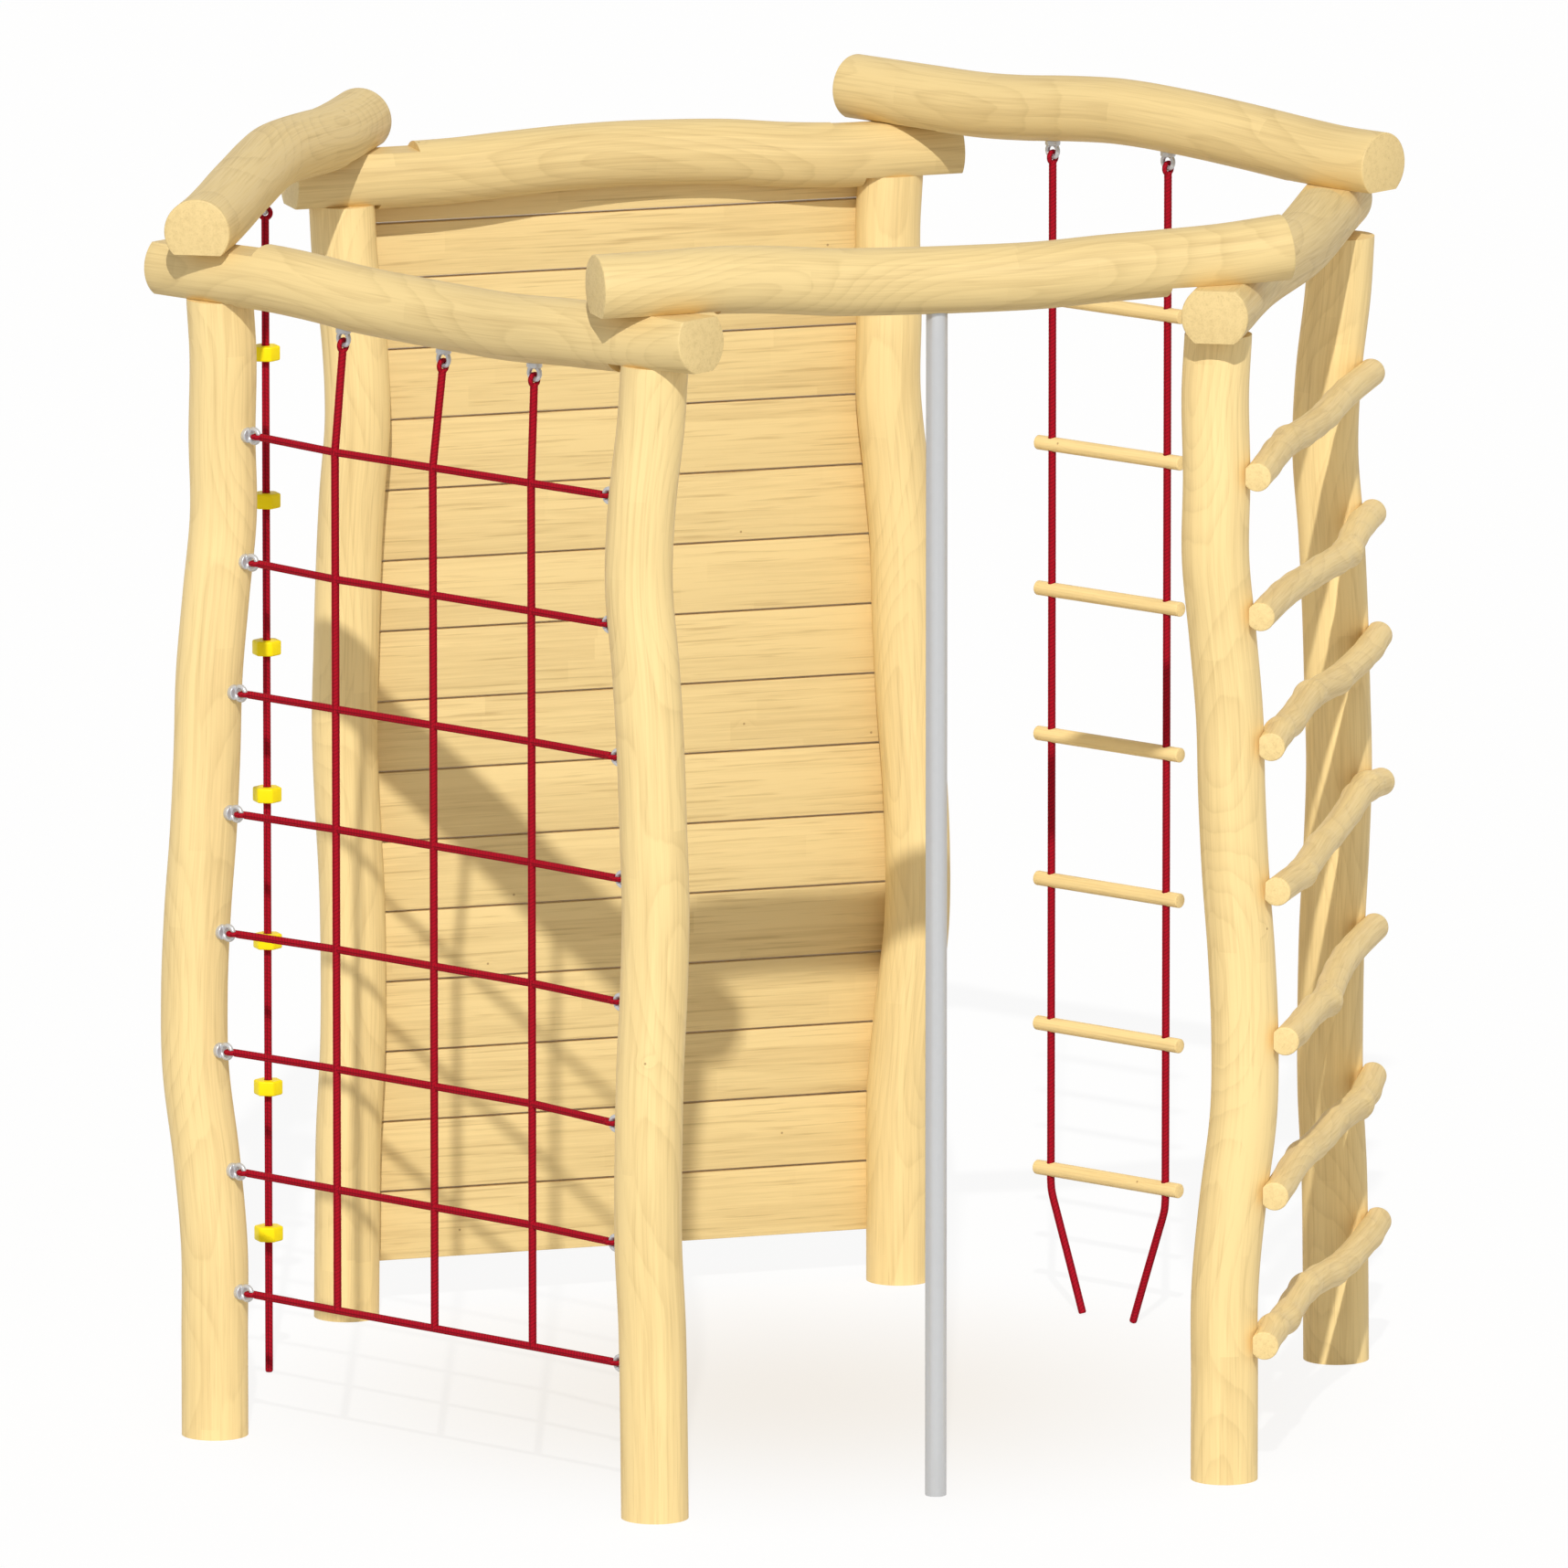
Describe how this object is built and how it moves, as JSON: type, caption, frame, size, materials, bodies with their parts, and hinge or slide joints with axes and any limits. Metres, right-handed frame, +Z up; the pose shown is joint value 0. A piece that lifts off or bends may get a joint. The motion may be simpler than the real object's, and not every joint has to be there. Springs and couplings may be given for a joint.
{
  "type": "hexagonal climbing frame",
  "caption": "Hexagonal play frame of wavy debarked logs with a rope net, fire pole, log rungs, rope ladder, board climbing wall and a knobbed climbing rope.",
  "frame": {"origin": "centre of the hexagon of posts at ground level", "axes": "+Z up, -Y towards the fire pole's side, +Y towards the board wall, so the net is on the -X -Y side"},
  "size_m": [2.6025, 2.3214, 2.5604],
  "materials": {
    "debarked_log": "debarked, sanded and oiled",
    "planed_board": "planed",
    "turned_rung": "turned smooth",
    "red_rope": "braided over a steel core",
    "yellow_plastic": "moulded",
    "galvanised_steel": "galvanised"
  },
  "bodies": {
    "frame": {"post_net_left": "debarked_log", "post_net_right": "debarked_log", "post_ladder_front": "debarked_log", "post_ladder_back": "debarked_log", "post_wall_right": "debarked_log", "post_wall_left": "debarked_log", "beam_net": "debarked_log", "beam_pole": "debarked_log", "beam_log_ladder": "debarked_log", "beam_rope_ladder": "debarked_log", "beam_wall": "debarked_log", "beam_climbing_rope": "debarked_log", "corner_rod_1": "galvanised_steel", "corner_rod_2": "galvanised_steel", "corner_rod_3": "galvanised_steel", "corner_rod_4": "galvanised_steel", "corner_rod_5": "galvanised_steel", "corner_rod_6": "galvanised_steel", "wall_board_01": "planed_board", "wall_board_02": "planed_board", "wall_board_03": "planed_board", "wall_board_04": "planed_board", "wall_board_05": "planed_board", "wall_board_06": "planed_board", "wall_board_07": "planed_board", "wall_board_08": "planed_board", "wall_board_09": "planed_board", "wall_board_10": "planed_board", "wall_board_11": "planed_board", "wall_board_12": "planed_board", "wall_board_13": "planed_board", "wall_board_14": "planed_board", "wall_board_15": "planed_board", "wall_board_16": "planed_board", "log_rung_1": "debarked_log", "log_rung_2": "debarked_log", "log_rung_3": "debarked_log", "log_rung_4": "debarked_log", "log_rung_5": "debarked_log", "log_rung_6": "debarked_log", "log_rung_7": "debarked_log", "fire_pole": "galvanised_steel", "climbing_net": "red_rope"},
    "hanging_ladder": {"ladder_rope_left": "red_rope", "ladder_rope_right": "red_rope", "ladder_rung_1": "turned_rung", "ladder_rung_2": "turned_rung", "ladder_rung_3": "turned_rung", "ladder_rung_4": "turned_rung", "ladder_rung_5": "turned_rung", "ladder_rung_6": "turned_rung", "ladder_rung_7": "turned_rung"},
    "hanging_rope": {"climbing_rope": "red_rope", "climbing_knob_1": "yellow_plastic", "climbing_knob_2": "yellow_plastic", "climbing_knob_3": "yellow_plastic", "climbing_knob_4": "yellow_plastic", "climbing_knob_5": "yellow_plastic", "climbing_knob_6": "yellow_plastic", "climbing_knob_7": "yellow_plastic"}
  },
  "joints": [
    {"name": "ladder_swing", "type": "hinge", "parent": "frame", "child": "hanging_ladder", "pos_m": [0.86979, 0.50795, 2.38748], "axis": [-0.5109, 0.859, -0.0329], "range_deg": [-20, 20]},
    {"name": "rope_swing", "type": "hinge", "parent": "frame", "child": "hanging_rope", "pos_m": [-0.91023, 0.52552, 2.37371], "axis": [-0.5, -0.866, 0], "range_deg": [-20, 20]}
  ]
}
